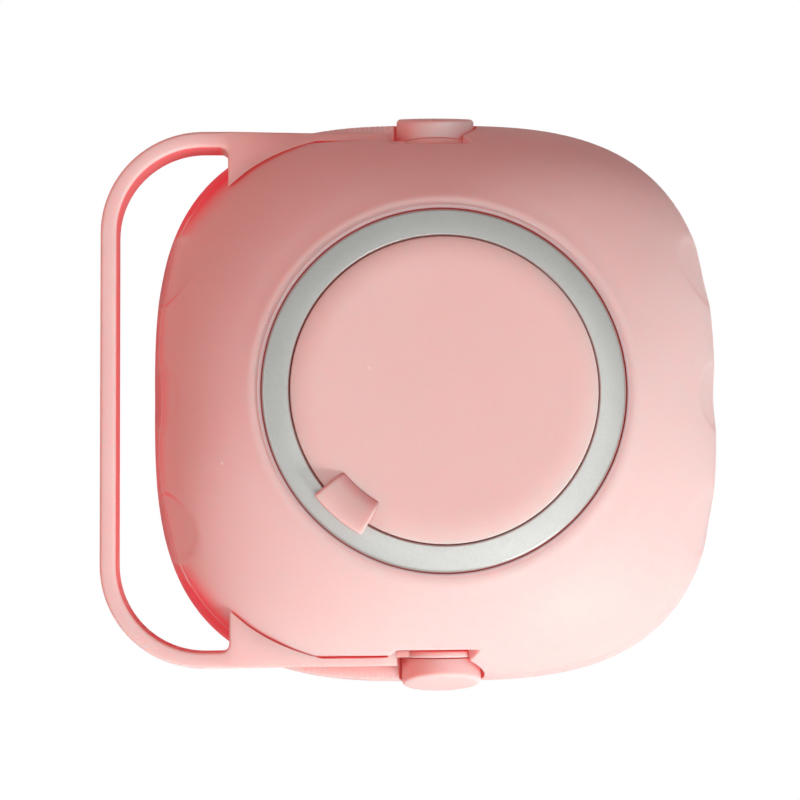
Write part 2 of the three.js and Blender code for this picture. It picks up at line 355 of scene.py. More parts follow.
def silicone(name, lit=LIT_PINK, crease=0.006, grain=0.22, dust=1.0, painted_shade="flank", glow=0.22):
    """Matte pink silicone with painted light and shade. Its colour is paler on faces towards KEY_SIDE, as
    painted light, and pinker away from it, as painted shade; a deep red painted shade lies in creases and on
    the marked faces, and a weak red emission is painted glow standing in for light that leaks through. crease
    is how near a wall a face takes painted crease shade, in metres."""
    material, g, surface, place = shader(name)
    mottle = g.add("ShaderNodeGroup", {}, node_tree=TONE_MOTTLE)
    specks = g.add("ShaderNodeGroup", {}, node_tree=CLINGING_DUST)
    skin = g.add("ShaderNodeGroup", {}, node_tree=SOFT_GRAIN)
    for node in (mottle, specks, skin):
        g.join(place, node.inputs["Place"])
    facing = g.add("ShaderNodeNewGeometry").outputs["Normal"]
    # painted light and shade: faces towards the key light get the lit pink, faces away the shaded pink, with
    # a little random tone
    to_key = g.add("ShaderNodeVectorMath", {0: facing, 1: KEY_SIDE}, operation="DOT_PRODUCT").outputs["Value"]
    tone = g.ramp(g.maths("ADD", to_key, g.maths("MULTIPLY", mottle.outputs["Tone"], 0.05)), -0.1, 0.97)
    base = g.mixed(tone, list(SHADED_PINK) + [1], list(lit) + [1])
    # painted shade: faces close to another wall turn crease red
    shade = g.add("ShaderNodeAmbientOcclusion", {"Distance": crease}, samples=8)
    crease_shade = g.ramp(shade.outputs["AO"], 0.05, 0.75, 1.0, 0.0)
    base = g.mixed(crease_shade, base, list(CREASE_SHADE_RED) + [1])
    skimmed = g.ramp(g.add("ShaderNodeLayerWeight", {"Blend": 0.5}).outputs["Facing"], 0.28, 0.62, 0.1, 1.0)
    red_shade = 0.0
    # painted shade: deep red on the flank behind the strap, strongest where it is seen at a grazing angle
    if painted_shade == "flank":
        node = g.add("ShaderNodeGroup", {"Place": place, "Normal": facing}, node_tree=FLANK_SHADE_MASK)
        red_shade = g.maths("MULTIPLY", node.outputs["Flank"], skimmed)
    # painted shade: deep red on the strap's faces turned to the brush's axis, and the shaded pink on its
    # arms, more on the +Y side
    if painted_shade == "inward":
        node = g.add("ShaderNodeGroup", {"Place": place, "Normal": facing}, node_tree=INWARD_FACE)
        red_shade = g.maths("MULTIPLY", node.outputs["Inward"], g.maths("MULTIPLY", skimmed, 0.75))
        axis = g.add("ShaderNodeSeparateXYZ", {"Vector": place})
        ear = g.ramp(axis.outputs[0], -0.042, -0.024)
        side = g.ramp(axis.outputs[1], -0.036, 0.036, 0.2, 0.8)
        base = g.mixed(g.maths("MULTIPLY", ear, side), base, list(SHADED_PINK) + [1])
    # painted shade: deep red at the tab's root, fading outwards over 2.2 mm
    if painted_shade == "root":
        flat = g.add("ShaderNodeVectorMath", {0: place, 1: (1, 1, 0)}, operation="MULTIPLY").outputs[0]
        out = g.add("ShaderNodeVectorMath", {0: flat}, operation="LENGTH").outputs["Value"]
        red_shade = g.ramp(out, TAB_IN * MM, (TAB_IN + 2.2) * MM, 0.4, 0.0)
    # painted shade: whichever deep red mask was chosen above is mixed in here
    base = g.mixed(red_shade, base, list(PAINTED_SHADE_RED) + [1])
    pale = g.maths("MULTIPLY", specks.outputs["Pale"], 0.35 * dust)
    base = g.mixed(pale, base, list(PALE_SPECK) + [1])
    dark = g.maths("MULTIPLY", specks.outputs["Dark"], 0.3 * dust)
    base = g.mixed(dark, base, list(DARK_SPECK) + [1])
    g.join(base, surface.inputs["Base Color"])
    # painted glow: a weak red emission in creases and on the deep red faces, standing in for light that leaks
    # through the silicone
    leaked = g.mixed(crease_shade, (0, 0, 0, 1), list(CREASE_GLOW) + [1])
    leaked = g.mixed(red_shade, leaked, (glow, glow * 0.02, glow * 0.03, 1))
    g.join(leaked, surface.inputs["Emission Color"])
    surface.inputs["Emission Strength"].default_value = 1.0
    g.join(g.ramp(mottle.outputs["Tone"], 0, 1, 0.5, 0.6), surface.inputs["Roughness"])
    bump = g.add("ShaderNodeBump", {"Height": skin.outputs["Height"], "Strength": grain, "Distance": 0.00006})
    g.join(bump.outputs["Normal"], surface.inputs["Normal"])
    surface.inputs["Subsurface Weight"].default_value = 0.6
    surface.inputs["Subsurface Radius"].default_value = (1.0, 0.22, 0.18)
    surface.inputs["Subsurface Scale"].default_value = 0.005
    surface.inputs["Specular IOR Level"].default_value = 0.34
    surface.inputs["Sheen Weight"].default_value = 0.06
    surface.inputs["Sheen Roughness"].default_value = 0.45
    surface.inputs["Sheen Tint"].default_value = (1.0, 0.9, 0.88, 1)
    return material


def satin_ring(name, colour):
    """Silver-grey moulded plastic with a satin lacquer: faint turned lines and metallic flake."""
    material, g, surface, place = shader(name)
    flake = g.add("ShaderNodeTexVoronoi", {"Vector": place, "Scale": 5200.0})
    parts = g.add("ShaderNodeSeparateColor", {"Color": flake.outputs["Color"]})
    tone = g.noise(place, 60.0, 3.0)
    darker = [c * 0.9 for c in colour] + [1]
    lighter = [min(c * 1.1, 1) for c in colour] + [1]
    base = g.mixed(g.ramp(tone, 0.3, 0.7), darker, list(colour) + [1])
    base = g.mixed(g.maths("MULTIPLY", parts.outputs[0], 0.4), base, lighter)
    g.join(base, surface.inputs["Base Color"])
    axis = g.add("ShaderNodeSeparateXYZ", {"Vector": place})
    out = g.add("ShaderNodeCombineXYZ", {"X": axis.outputs[0], "Y": axis.outputs[1]})
    radius = g.add("ShaderNodeVectorMath", {0: out.outputs[0]}, operation="LENGTH").outputs["Value"]
    lines = g.noise(g.add("ShaderNodeCombineXYZ", {"X": radius}).outputs[0], 9000.0, 1.0)
    g.join(g.ramp(parts.outputs[1], 0, 1, 0.34, 0.44), surface.inputs["Roughness"])
    height = g.maths("ADD", g.maths("MULTIPLY", lines, 0.5), g.maths("MULTIPLY", parts.outputs[2], 0.5))
    bump = g.add("ShaderNodeBump", {"Height": height, "Strength": 0.16, "Distance": 0.00003})
    g.join(bump.outputs["Normal"], surface.inputs["Normal"])
    surface.inputs["Metallic"].default_value = 0.45
    surface.inputs["Coat Weight"].default_value = 0.12
    surface.inputs["Coat Roughness"].default_value = 0.25
    return material


def plain_moulding(name, colour, roughness, see_through):
    """Natural moulded plastic or clear silicone inside the neck: slightly cloudy and uneven."""
    material, g, surface, place = shader(name)
    tone = g.add("ShaderNodeGroup", {"Scale": 160.0}, node_tree=TONE_MOTTLE)
    skin = g.add("ShaderNodeGroup", {"Grain Scale": 2200.0}, node_tree=SOFT_GRAIN)
    for node in (tone, skin):
        g.join(place, node.inputs["Place"])
    darker = [c * 0.93 for c in colour] + [1]
    g.join(g.mixed(tone.outputs["Tone"], list(colour) + [1], darker), surface.inputs["Base Color"])
    g.join(g.ramp(tone.outputs["Tone"], 0, 1, roughness, roughness + 0.1), surface.inputs["Roughness"])
    bump = g.add("ShaderNodeBump", {"Height": skin.outputs["Height"], "Strength": 0.12, "Distance": 0.00005})
    g.join(bump.outputs["Normal"], surface.inputs["Normal"])
    surface.inputs["Subsurface Weight"].default_value = see_through
    surface.inputs["Subsurface Radius"].default_value = (1.0, 0.9, 0.8)
    surface.inputs["Subsurface Scale"].default_value = 0.002
    return material


# painted light: the lid's paler pink for faces towards the key light
LID_LIT = (0.80, 0.56, 0.535)
BODY_SKIN = silicone("soft_pink_silicone")
LID_SKIN = silicone("lid_pink_silicone", lit=LID_LIT, crease=0.0016, dust=0.8, painted_shade="none", glow=0.15)
TAB_SKIN = silicone("tab_pink_silicone", lit=LID_LIT, crease=0.0016, dust=0.3, painted_shade="root", glow=0.1)
STRAP_SKIN = silicone("strap_pink_silicone", crease=0.005, dust=0.5, painted_shade="inward", glow=0.2)
BRISTLE_SKIN = silicone("bristle_pink_silicone", crease=0.004, grain=0.1, dust=0.3, painted_shade="none", glow=0.1)
RING_SKIN = satin_ring("satin_silver_plastic", (0.50, 0.505, 0.485))
SLEEVE_SKIN = plain_moulding("natural_white_plastic", (0.78, 0.78, 0.76), 0.38, 0.1)
SEAL_SKIN = plain_moulding("milky_seal_silicone", (0.74, 0.72, 0.69), 0.3, 0.5)


# ---------------------------------------------------------------- the body's form
def half_share(z, grown=0.0):
    """Size of the outline at a level as a share of the widest, for a form grown all round."""
    reach, bend = (RISE, RISE_BEND) if z > WAIST_Z else (DROP, DROP_BEND)
    t = min(abs(z - WAIST_Z) / (reach + grown), 1)
    return (1 - t**bend) ** (1 / bend)


def exponent(z):
    """Squareness of the outline at a level: full up to the waist, and round at the rim."""
    t = min(max((z - WAIST_Z) / (RIM_Z - WAIST_Z), 0), 1)
    return SQUARENESS - (SQUARENESS - 2) * t * t


def side_y(x, z, grown=0.0):
    """How far the body reaches along Y at (x, z)."""
    n = exponent(z)
    share = half_share(z, grown)
    t = abs(x) / ((HALF_X + grown) * share)
    return (HALF_Y + grown) * share * max(1 - t**n, 0) ** (1 / n)


def squared(v, circle_r):
    """Pushes a vertex of a round spun form out to the rounded-square outline of its level."""
    r = hypot(v.co.x, v.co.y)
    if r < 0.01:
        return
    c, s = v.co.x / r, v.co.y / r
    n = exponent(v.co.z)
    blend = smooth(circle_r, circle_r + 3.5, r)
    push = mix(1, 1 / (abs(c) ** n + abs(s) ** n) ** (1 / n), blend)
    v.co.x = c * r * push
    v.co.y = s * r * push * mix(1, HALF_Y / HALF_X, blend)


def dome_arc(count):
    """Points of the dome's profile from the waist up to the rim, evenly turned."""
    points = []
    rim = (RIM_Z - WAIST_Z) / RISE
    last = atan2(rim ** (RISE_BEND / 2), (1 - rim**RISE_BEND) ** 0.5)
    for i in range(count + 1):
        a = last * i / count
        points.append((HALF_X * cos(a) ** (2 / RISE_BEND), WAIST_Z + RISE * sin(a) ** (2 / RISE_BEND)))
    return points


DIMPLE_PITCH, DIMPLE_Z, DIMPLE_LONG, DIMPLE_TALL, DIMPLE_DEEP = 18.7, 31.6, 5.2, 5.8, 0.5


def dimple_depth(y, z):
    """Depth of the finger dimples at a spot on a side wall, with a softly rolled edge."""
    row = min(max(round(y / DIMPLE_PITCH), -1), 1)
    d = hypot((y - row * DIMPLE_PITCH) / DIMPLE_LONG, (z - DIMPLE_Z) / DIMPLE_TALL)
    bowl = 1 - 0.55 * d * d
    return DIMPLE_DEEP * bowl * (1 - smooth(0.8, 1.1, d))


def seat_cuts(x, z):
    """How far (x, z) lies inside each cut of the strap's seat, with the |y| of that cut's floor."""
    d = hypot(x, z - STUD_Z)
    angle = degrees(atan2(z - STUD_Z, -x))
    open_angle = min(angle - SEAT_FROM, SEAT_TO - angle)
    along = d * sin(radians(min(open_angle, 90))) if open_angle > -90 else -d
    return [
        (SEAT_BORE_R - d, SEAT_FLOOR_Y),
        (min(SEAT_NECK_R - d, along), SEAT_FLOOR_Y),
        (min(SEAT_ARM_R - d, along), SEAT_ARM_Y),
    ]


def seat_floor(x, z):
    """Greatest |y| left by the strap's seat at (x, z): a bore, a neck pocket and a flat for the arm."""
    outside = side_y(x, z) + 0.01
    return min(mix(outside, floor, smooth(-0.25, 0.0, inside)) for inside, floor in seat_cuts(x, z))


def near_seat_edge(v):
    """True close to the rim of any cut of the seat."""
    return abs(v.co.y) > 30 and any(abs(inside + 0.1) < 0.45 for inside, _ in seat_cuts(v.co.x, v.co.z))


def near_detail(v):
    """True on the parts of the outside wall that hold the seats and the dimples."""
    x, y, z = v.co
    beside_stud = abs(y) > 30 and -26 < x < 11 and 23.5 < z < 41.5
    beside_dimples = abs(x) > 33 and abs(y) < 27 and 23.6 < z < 39.6
    return beside_stud or beside_dimples


PARTING_Z, PARTING_HALF = 31.2, 0.2


def on_dome(v):
    r = hypot(v.co.x, v.co.y)
    return v.co.z < RIM_Z - 0.9 and abs(r - outer_r(v.co.z)) < 0.12


def outer_r(z):
    """The spun outside radius, with a fine moulded parting line round the level of the studs."""
    return HALF_X * half_share(z) + 0.1 * max(0, 1 - abs(z - PARTING_Z) / PARTING_HALF)


def make_upper_shell():
    """The domed upper half: spun, finer where it has detail, then squared and cut by its seats."""
    lip_r = RING_R + 0.4
    outer = [(HALF_X * half_share(z), z) for z in (SEAM_Z + 0.22, SEAM_Z + 0.6, SEAM_Z + 1.2, SEAM_Z + 1.9)]
    seam_out = HALF_X * half_share(SEAM_Z)
    dome = dome_arc(40)[:-1]
    dome += [(outer_r(z), z) for z in (PARTING_Z - PARTING_HALF, PARTING_Z, PARTING_Z + PARTING_HALF)]
    dome.sort(key=lambda point: point[1])
    rim_r = HALF_X * half_share(RIM_Z)
    lip = rounded([(rim_r - 0.15, RIM_Z, 0.45), (lip_r, RIM_Z, 0.25), (lip_r, 42.9, 0)], 4)
    ceiling_z = 37.9
    inner_top = (HALF_X - WALL) * half_share(ceiling_z, -WALL)
    inside = [
        (24.95, 42.9), (24.95, 40.9), (RING_NECK_R + 0.4, 40.9), (RING_NECK_R + 0.4, ceiling_z),
        (25, ceiling_z), (29, ceiling_z), (inner_top - 2.2, ceiling_z), (inner_top - 0.6, ceiling_z - 0.6),
    ]
    cavity = [((HALF_X - WALL) * half_share(z, -WALL), z) for z in (36.2, 34, 31.5, 29, 26.5, 24, SEAM_Z)]
    profile = [(seam_out - 0.28, SEAM_Z)] + outer + dome + lip[1:] + inside + cavity
    bm = bmesh.new()
    spun(bm, profile, 208)
    for finer in (near_detail, near_detail, near_seat_edge):
        put_in_order(bm)
        faces = [f for f in bm.faces if all(on_dome(v) and near_detail(v) and finer(v) for v in f.verts)]
        edges = list(dict.fromkeys(e for f in faces for e in f.edges))
        bmesh.ops.subdivide_edges(bm, edges=edges, cuts=1, use_grid_fill=True)
    for v in bm.verts:
        outside = on_dome(v)
        if outside:
            r = hypot(v.co.x, v.co.y)
            true_r = outer_r(v.co.z)
            v.co.x *= true_r / r
            v.co.y *= true_r / r
        squared(v, 27.5 if v.co.z > ceiling_z + 0.5 else 25.5)
        if outside:
            side = 1 if v.co.y > 0 else -1
            if abs(v.co.y) > 33 and -26 < v.co.x < 11:
                v.co.y = side * min(abs(v.co.y), seat_floor(v.co.x, v.co.z))
            elif abs(v.co.x) > 33:
                v.co.x -= (1 if v.co.x > 0 else -1) * dimple_depth(v.co.y, v.co.z)
        elif hypot(v.co.x, v.co.y) > 26 and v.co.z < ceiling_z + 0.1:
            v.co.y = min(max(v.co.y, -FLAT_SIDE_Y), FLAT_SIDE_Y)
    finished("soft_shell", bm, "brush_body", BODY_SKIN, ["upper_shell"], sharp=55)


def make_stud_boss(side, label):
    """The thickened cup inside the wall that holds a stud's root."""
    bm = bmesh.new()
    depth = FLAT_SIDE_Y + 0.6 - 29.6
    profile = rounded([(0, 0, 0), (7, 0, 0.8), (7.6, depth, 0), (0, depth, 0)], 4)
    verts = spun(bm, profile, 64, closed=False)
    turned_to_y(bm, verts, side, at=(0, 29.6, STUD_Z))
    finished("stud_boss_" + label, bm, "brush_body", BODY_SKIN)


# ---------------------------------------------------------------- bristle pad
BRISTLE_PITCH, BRISTLE_REACH, ROOT_R, TIP_R = 6.6, 33, 1.75, 0.85
ROW_PITCH = BRISTLE_PITCH * 0.87
PAD_THICK = 2.6


def bristle_spots():
    """Where the bristles stand: staggered rows inside a rounded square."""
    rows = int(BRISTLE_REACH / ROW_PITCH)
    for row in range(-rows, rows + 1):
        y = row * ROW_PITCH
        for column in range(-6, 7):
            x = column * BRISTLE_PITCH + (BRISTLE_PITCH / 2 if row % 2 else 0)
            if (abs(x) ** SQUARENESS + abs(y) ** SQUARENESS) ** (1 / SQUARENESS) <= BRISTLE_REACH:
                yield x, y


def make_pad():
    """The lower half of the body as an open tray, with its bristles."""
    floor_z = PAD_Z + PAD_THICK
    under_r = HALF_X * half_share(PAD_Z)
    levels = [PAD_Z + 0.15 + (SEAM_Z - PAD_Z - 0.4) * (i / 14) ** 1.3 for i in range(15)]
    outer = [(HALF_X * half_share(z), z) for z in levels]
    inner_levels = (SEAM_Z, SEAM_Z - 1.6, SEAM_Z - 3.2, floor_z + 1.8, floor_z + 0.6)
    inner = [((HALF_X - WALL) * half_share(z, -WALL), z) for z in inner_levels]
    under = [(r, PAD_Z) for r in (0, 8, 16, 24, under_r - 3, under_r - 0.9)]
    floor = [(r, floor_z) for r in (inner[-1][0] - 1.2, 24, 12, 0)]
    seam = [(HALF_X * half_share(SEAM_Z) - 0.28, SEAM_Z)]
    bm = bmesh.new()
    spun(bm, under + outer + seam + inner + floor, 192, closed=False)
    for v in bm.verts:
        squared(v, 5)
    add_bristles(bm)
    finished("bristle_side", bm, "brush_body", BRISTLE_SKIN, ["bristle_pad"], sharp=50)


def add_bristles(bm):
    """Round tapered bristles with domed tips and a small fillet at the root."""
    profile = [(0, 0)]
    for i in range(1, 5):
        a = radians(90 * i / 4)
        profile.append((TIP_R * sin(a), TIP_R * (1 - cos(a))))
    for i in range(1, 5):
        profile.append((mix(TIP_R, ROOT_R, i / 4), mix(TIP_R, PAD_Z - 1, i / 4)))
    profile += [(ROOT_R + 0.18, PAD_Z - 0.4), (ROOT_R + 0.55, PAD_Z - 0.05), (ROOT_R + 0.6, PAD_Z + 0.4)]
    first = bmesh.new()
    spun(first, profile, 14, closed=False)
    bmesh.ops.holes_fill(first, edges=[e for e in first.edges if e.is_boundary], sides=0)
    pattern = bpy.data.meshes.new("one_bristle")
    first.to_mesh(pattern)
    first.free()
    many = bmesh.new()
    for x, y in bristle_spots():
        known = len(many.verts)
        many.from_mesh(pattern)
        many.verts.ensure_lookup_table()
        bmesh.ops.translate(many, vec=(x, y, 0), verts=many.verts[known:])
    bristles = bpy.data.meshes.new("all_bristles")
    many.to_mesh(bristles)
    many.free()
    bm.from_mesh(bristles)
    bpy.data.meshes.remove(pattern)
    bpy.data.meshes.remove(bristles)


def make_soap_holes():
    """Small lipped outlets between the middle bristles, each a short dark-throated nozzle."""
    bm = bmesh.new()
    spots = [(3.8, (i / 4 + 1 / 8) * 2 * pi) for i in range(4)]
    spots += [(14.3, i / 8 * 2 * pi) for i in range(8)]
    section = rounded([(0.55, 0, 0.1), (1.05, 0, 0.2), (1.2, 0.6, 0), (0.55, 0.6, 0)], 3)
    for r, angle in spots:
        verts = spun(bm, section, 20)
        bmesh.ops.translate(bm, vec=(r * cos(angle), r * sin(angle), PAD_Z - 0.3), verts=verts)
    finished("soap_outlets", bm, "brush_body", BRISTLE_SKIN)


# ---------------------------------------------------------------- ring, sleeve, seal and lid
def make_ring():
    """The grey ring with its seat for the lid and the neck below it."""
    r, top = RING_R, RING_TOP
    profile = rounded([
        (RING_BORE_R, RING_FOOT, 0.3), (RING_NECK_R, RING_FOOT, 0.3), (RING_NECK_R, 41.2, 0.2),
        (24.6, 41.2, 0.2), (24.6, 43.2, 0.2), (r, 43.2, 0.2), (r, top - 0.62, 0.1),
        (r - 0.3, top - 0.32, 0.16), (RING_IN_R + 0.2, top, 0.08), (RING_IN_R, top - 0.2, 0.08),
        (RING_IN_R, RING_SEAT_Z, 0.2), (RING_BORE_R, RING_SEAT_Z, 0.4),
    ], 3)
    bm = bmesh.new()
    spun(bm, profile, 256)
    finished("silver_ring", bm, "brush_body", RING_SKIN, ["bezel_ring"], sharp=60)


def make_sleeve():
    """The stepped clamp sleeve round the ring's neck."""
    low, high = SLEEVE_LOW[2], SLEEVE_HIGH[2]
    inner, outer = RING_NECK_R + 0.3, SLEEVE_HIGH[0]
    step = low + 2.3
    profile = rounded([
        (inner, low, 0.3), (inner + 1.8, low, 0.4), (inner + 1.8, step, 0.4),
        (outer, step, 0.5), (outer, high, 0.3), (inner, high, 0.2),
    ], 4)
    bm = bmesh.new()
    spun(bm, profile, 128)
    finished("clamp_sleeve", bm, "brush_body", SLEEVE_SKIN, ["neck_sleeve"])


def make_seal():
    """The ridged sealing ring in the plug's groove."""
    low, high, outer = SEAL_LOW[2], SEAL_HIGH[2], SEAL_HIGH[0]
    middle = (low + high) / 2
    profile = rounded([
        (17.8, low, 0.15), (outer - 0.4, low, 0.3), (outer, middle, 0.15),
        (outer - 0.4, high, 0.3), (17.8, high, 0.15),
    ], 4)
    bm = bmesh.new()
    spun(bm, profile, 128)
    finished("lid_seal_ring", bm, "seal", SEAL_SKIN, ["lid_seal"])


def lid_height(r):
    """The lid's top: nearly flat, with a broad soft shoulder towards its edge."""
    shoulder = max(r - LID_R + SHOULDER_WIDE, 0) / SHOULDER_WIDE
    return LID_TOP - LID_CROWN * (r / LID_R) ** 2 - (LID_FALL - LID_CROWN) * shoulder**2.6


def make_lid():
    """The round lid with its hollow plug, grooved for the seal."""
    profile = [(0, 42.6)] + rounded([
        (SKIRT_IN, 42.6, 1.0), (SKIRT_IN, LID_LOW[2], 0.3), (SKIRT_OUT, LID_LOW[2], 0.5),
        (SKIRT_OUT, 39, 0.15), (17.6, 39, 0.2), (17.6, 40.6, 0.2), (SKIRT_OUT, 40.6, 0.15),
        (SKIRT_OUT, LID_UNDER, 0.3), (LID_R, LID_UNDER, 0.3), (LID_R, LID_TOP - LID_FALL, 0.25),
        (LID_R - 0.6, lid_height(LID_R - 0.6), 0),
    ], 6) + [(r, lid_height(r)) for r in (21, 20.5, 20, 19.5, 19, 18.5, 18, 17.5, 17, 16, 14, 11, 7, 3, 0)]
    bm = bmesh.new()
    spun(bm, profile, 256, closed=False)
    finished("plug_lid", bm, "plug_lid", LID_SKIN, ["lid"], sharp=50)


def make_tab():
    """The pull tab: a flared ramp that rises from the lid's edge and overhangs the ring."""
    bm = bmesh.new()
    radii = [TAB_IN, TAB_IN + 1.4, 21.2, 22.5, TAB_OUT]
    across = 11
    sheet = bmesh.ops.create_grid(bm, x_segments=across - 1, y_segments=len(radii) - 1, size=1)["verts"]
    for i, v in enumerate(sheet):
        r = radii[i // across]
        a = radians(TAB_ANGLE + TAB_HALF * (2 * (i % across) / (across - 1) - 1))
        v.co = (r * cos(a), r * sin(a), 0)
    grown = bmesh.ops.extrude_face_region(bm, geom=bm.faces[:])
    raised = {v for v in grown["geom"] if isinstance(v, bmesh.types.BMVert)}
    for v in bm.verts:
        r = hypot(v.co.x, v.co.y)
        if v in raised:
            v.co.z = mix(LID_TOP + 0.1, TAB_TOP, min(max(r - TAB_IN, 0) / 4.2, 1) ** 0.8)
        else:
            v.co.z = mix(LID_TOP - 0.55, LID_TOP - 0.02, smooth(21, 22.2, r))
    for v in raised:
        v.co.z = min(v.co.z, TAB_TOP)
    bmesh.ops.recalc_face_normals(bm, faces=bm.faces)
    rim = [e for e in bm.edges if e.calc_face_angle(0) > radians(35)]
    bmesh.ops.bevel(bm, geom=rim, offset=0.42, segments=4, profile=0.5, affect="EDGES", material=-1)
    finished("pull_tab", bm, "plug_lid", TAB_SKIN, sharp=60)


# ---------------------------------------------------------------- hand strap
OUT_Y = STRAP_HIGH[1]
FRONT_Z = 35.6
ARM_BACK_Z = 30.7
LOOP_BACK_Z = 29.2
BAR_X = STRAP_LOW[0]
BAND_WIDE = OUT_Y - BAND_Y
BEND_R = 15.1
EAR_X = -31.0
ARM_END_X = -6.6
STRAP_EDGE = 0.55
ARM_FALL = 0.3


def strap_half_plan(z):
    """Half the strap in plan at a level: matched points along its outer and inner lines, eye to middle."""
    pairs = [((ARM_END_X, OUT_Y), (ARM_END_X, EYE_IN)), ((-7.35, OUT_Y), (-7.95, EYE_IN))]
    for x in [mix(-8.1, EAR_X + 2.6, i / 26) for i in range(27)]:
        clear = side_y(x, z, 0.4)
        outer_x = x + 0.4 if x > -8.2 else x
        pairs.append(((outer_x, OUT_Y), (x, mix(clear, min(clear, ARM_Y), smooth(-25.5, -23, x)))))
    tip_y = side_y(EAR_X, z, 0.4)
    corner_r = min(1.2, max(BAND_Y - tip_y - 0.2, 0.2))
    for along in (0, 0.7, 1):
        pairs.append(((EAR_X + 1.9 - 1.2 * along, OUT_Y), (EAR_X, mix(tip_y, BAND_Y - corner_r, along))))
    for i in range(1, 7):
        a = radians(90 * i / 6)
        inner = (EAR_X - corner_r * (1 - cos(a)), BAND_Y - corner_r * (1 - sin(a)))
        pairs.append(((EAR_X + 0.7 - 0.3 * i, OUT_Y), inner))
    bend_x, bend_y, reach = BAR_X + BEND_R, OUT_Y - BEND_R, BEND_R - BAND_WIDE
    for i in range(25):
        a = radians(90 + 90 * i / 24)
        outer = (bend_x + BEND_R * cos(a), bend_y + BEND_R * sin(a))
        pairs.append((outer, (bend_x + reach * cos(a), bend_y + reach * sin(a))))
    for i in range(1, 6):
        y = bend_y * (1 - i / 6)
        pairs.append(((BAR_X, y), (BAR_X + BAND_WIDE, y)))
    return pairs


def strap_plan(z, inset):
    """The whole outline at a level, drawn in by inset all round."""
    pairs = strap_half_plan(z)
    half = [inner for _, inner in reversed(pairs)] + [outer for outer, _ in pairs]
    corners = [Vector(p) for p in half + [(x, -y) for x, y in reversed(half)]]
    points = []
    for i, here in enumerate(corners):
        before = (here - corners[i - 1]).normalized()
        after = (corners[(i + 1) % len(corners)] - here).normalized()
        inward = Vector((-before.y - after.y, before.x + after.x)).normalized()
        lean = max(inward.dot(Vector((-before.y, before.x))), 0.3)
        near_ear = mix(1, 0.5, smooth(EAR_X - 1.5, EAR_X + 0.5, here.x))
        points.append(here + inward * (inset * near_ear / lean))
    return points


def strap_front(x, y):
    """Height of the strap's front face: level along the loop, falling outwards along the arms."""
    fall = smooth(EAR_X - 1, -16, x) * ARM_FALL * max(abs(y) - 35.5, 0)
    return FRONT_Z - fall - max(x + 8.1, 0) * 0.5


def make_strap():
    """The loop strap: a flat sheet in plan, extruded up level by level with rounded edges."""
    corner = [radians(90 * i / 4) for i in range(5)]
    levels = [(STRAP_EDGE * (1 - sin(a)), STRAP_EDGE * (1 - cos(a))) for a in corner]
    tall = FRONT_Z - LOOP_BACK_Z
    levels += [(0, mix(STRAP_EDGE, tall - STRAP_EDGE, i / 6)) for i in range(1, 6)]
    levels += [(STRAP_EDGE * (1 - cos(a)), tall - STRAP_EDGE * (1 - sin(a))) for a in corner]
    bm = bmesh.new()
    spot = bm.verts.layers.int.new("place_in_plan")
    columns = len(strap_plan(LOOP_BACK_Z, 0)) // 2
    verts = bmesh.ops.create_grid(bm, x_segments=columns - 1, y_segments=1, size=1)["verts"]
    for i, v in enumerate(verts):
        from_eye = i % columns
        outer = i >= columns
        v[spot] = columns // 2 + from_eye if outer else (columns // 2 - 1 - from_eye) % (2 * columns)
    faces = bm.faces[:]
    for step, (inset, up) in enumerate(levels):
        if step:
            grown = bmesh.ops.extrude_face_region(bm, geom=faces)["geom"]
            if step > 1:
                bmesh.ops.delete(bm, geom=faces, context="FACES")
            faces = [part for part in grown if isinstance(part, bmesh.types.BMFace)]
            verts = [part for part in grown if isinstance(part, bmesh.types.BMVert)]
        plan = strap_plan(LOOP_BACK_Z + up, inset)
        for v in verts:
            x, y = plan[v[spot]]
            back = mix(LOOP_BACK_Z, ARM_BACK_Z, smooth(-24, -22.5, x))
            v.co = (x, y, mix(back, strap_front(x, y), up / tall))
    for side in (1, -1):
        add_eye(bm, side)
    finished("loop_strap", bm, "strap", STRAP_SKIN, ["hand_strap"], sharp=50)


def add_eye(bm, side):
    """The washer-like eye under a stud's head, and the web that joins it to the arm."""
    thick = EYE_OUT - EYE_IN
    profile = rounded([
        (EYE_HOLE_R, 0, 0.2), (EYE_R, 0, 0.3), (EYE_R, thick, 0.3), (EYE_HOLE_R, thick, 0.2),
    ], 3)
    verts = spun(bm, profile, 64)
    turned_to_y(bm, verts, side, at=(0, EYE_IN, STUD_Z))
    web = bmesh.ops.create_cube(bm, size=1)["verts"]
    bmesh.ops.scale(bm, vec=(4.2, thick - 0.1, 3.4), verts=web)
    bmesh.ops.translate(bm, vec=(-5.7, side * (EYE_IN + thick / 2), STUD_Z + 1.5), verts=web)


